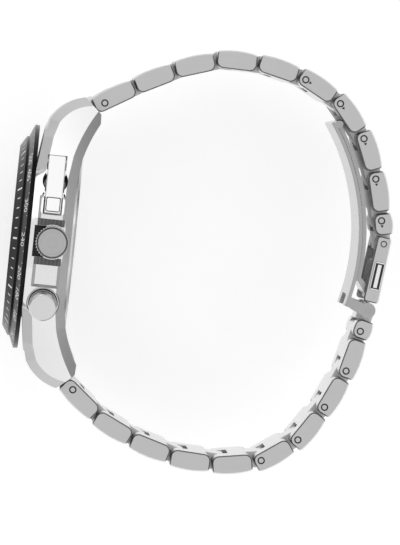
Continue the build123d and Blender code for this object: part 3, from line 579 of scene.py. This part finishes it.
bm = bmesh.new()
for hour in (0, 1, 2, 4, 5, 6, 7, 8, 9, 10, 11):
    strip = spoke(LUME_RADIUS, math.pi - math.radians(hour * 30), oblong(-0.75, -0.2, 0.75, 0.2))
    sheet(bm, dial_place(0, 0, DIAL_FRONT - 0.3), strip)
finish_piece(mesh_from(bm, "hour_lume"), "hour_lume", "case", LUME)
bm = bmesh.new()
for cx, cz in SUBDIALS:
    for k in range(12):
        mark = spoke(SUBDIAL_MARK_RADIUS, math.radians(k * 30), oblong(-0.28, -0.05, 0.2, 0.05))
        sheet(bm, dial_place(cx, cz, DIAL_FRONT), mark)
for k in range(60):
    mark = spoke(MINUTE_MARK_RADIUS, math.radians(k * 6), oblong(-0.18, -0.04, 0.18, 0.04))
    sheet(bm, dial_place(0, 0, DIAL_FRONT), mark)
finish_piece(mesh_from(bm, "dial_marks"), "dial_marks", "case", WHITE)
sheets = [(dial_place(0, DATE_PLACE, DIAL_FRONT + 0.3), oblong(-0.9, -1.15, 0.9, 1.15), None)]
inlay("date_disc", "case", WHITE, sheets)
for node, reach, width, rise in (("hour_hand", 8.3, 0.5, 0.53), ("minute_hand", 12.6, 0.42, 0.88)):
    root, tip = -0.35 * reach, -0.8 * reach
    strip = [(root, -width / 2), (root, width / 2), (tip, width / 4), (tip, -width / 4)]
    inlay(node + "_lume", node, LUME, [(dial_place(0, 0, DIAL_FRONT - rise), strip, None)])

# ================================ the stage =====================================================
FLOOR_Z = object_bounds()[0][2]
FLOOR_HALF = 3.0             # metres


def floor():
    data = bpy.data.meshes.new("floor")
    corners = oblong(-FLOOR_HALF, -FLOOR_HALF, FLOOR_HALF, FLOOR_HALF)
    data.from_pydata([(x, y, FLOOR_Z) for x, y in corners], [], [(0, 1, 2, 3)])
    obj = bpy.data.objects.new("floor", data)
    bpy.context.scene.collection.objects.link(obj)
    n = Nodes("floor_paper")
    cloud = n.noise(n.position(), 60, 2)
    n.link(n.ramp(cloud, [(0.3, grey(0.50)), (0.7, grey(0.52))]), n.shader.inputs["Base Color"])
    n.set(Roughness=0.9, Emission_Color=(1, 1, 1, 1), Emission_Strength=0.62)
    data.materials.append(n.material)


def world():
    scene_world = bpy.data.worlds.new("studio")
    bpy.context.scene.world = scene_world
    scene_world.use_nodes = True
    tree = scene_world.node_tree
    back = tree.nodes["Background"]
    coords = tree.nodes.new("ShaderNodeTexCoord")
    split = tree.nodes.new("ShaderNodeSeparateXYZ")
    ramp = tree.nodes.new("ShaderNodeValToRGB")
    ramp.color_ramp.elements[0].position = 0.0
    ramp.color_ramp.elements[0].color = (0.16, 0.16, 0.165, 1)
    ramp.color_ramp.elements[1].position = 1.0
    ramp.color_ramp.elements[1].color = (0.90, 0.90, 0.90, 1)
    ramp.color_ramp.elements.new(0.2).color = (0.42, 0.42, 0.425, 1)
    ramp.color_ramp.elements.new(0.6).color = (0.86, 0.86, 0.865, 1)
    tree.links.new(coords.outputs["Generated"], split.inputs[0])
    tree.links.new(split.outputs[2], ramp.inputs[0])
    tree.links.new(ramp.outputs[0], back.inputs[0])
    back.inputs[1].default_value = 1.0


def softbox(name, place, size, power):
    data = bpy.data.lights.new(name, "AREA")
    data.shape = "SQUARE"
    data.size = size
    data.energy = power
    obj = bpy.data.objects.new(name, data)
    obj.location = place
    way = Vector((0, 0.02, 0)) - Vector(place)
    obj.rotation_euler = way.to_track_quat("-Z", "Y").to_euler()
    bpy.context.scene.collection.objects.link(obj)


# ================================ the camera ====================================================
SENSOR = 36.0
DISTANCE = 800.0             # millimetres from the point looked at
TARGET = (3.15, 23.93, 10.0)
IMAGE_WIDTH = 74.75          # millimetres across the picture at the point looked at
RIGHT = Vector((-0.1028, 0.9947, 0.0))
UP = Vector((-0.9947, -0.1028, 0.0))
YAW = 2.6                    # degrees towards the dial
PITCH = 2.2                  # degrees towards 12 o'clock


def camera():
    data = bpy.data.cameras.new("camera")
    data.sensor_fit = "HORIZONTAL"
    data.sensor_width = SENSOR
    data.lens = SENSOR * DISTANCE / IMAGE_WIDTH
    data.clip_start = 0.01
    data.clip_end = 50
    aside, above = math.tan(math.radians(YAW)), math.tan(math.radians(PITCH))
    back = (Vector((0, 0, 1)) - RIGHT * aside + UP * above).normalized()
    side = UP.cross(back).normalized()
    top = back.cross(side)
    place = Vector(TARGET) + back * DISTANCE
    turn = Matrix((side, top, back)).transposed().to_4x4()
    obj = bpy.data.objects.new("camera", data)
    obj.matrix_world = Matrix.Translation(place * MM) @ turn
    bpy.context.scene.collection.objects.link(obj)
    bpy.context.scene.camera = obj


floor()
world()
softbox("key", (-0.35, -0.25, 0.6), 0.5, 0.45)
softbox("fill", (0.4, 0.35, 0.5), 0.6, 0.3)
camera()
bpy.context.scene.view_settings.view_transform = "Standard"
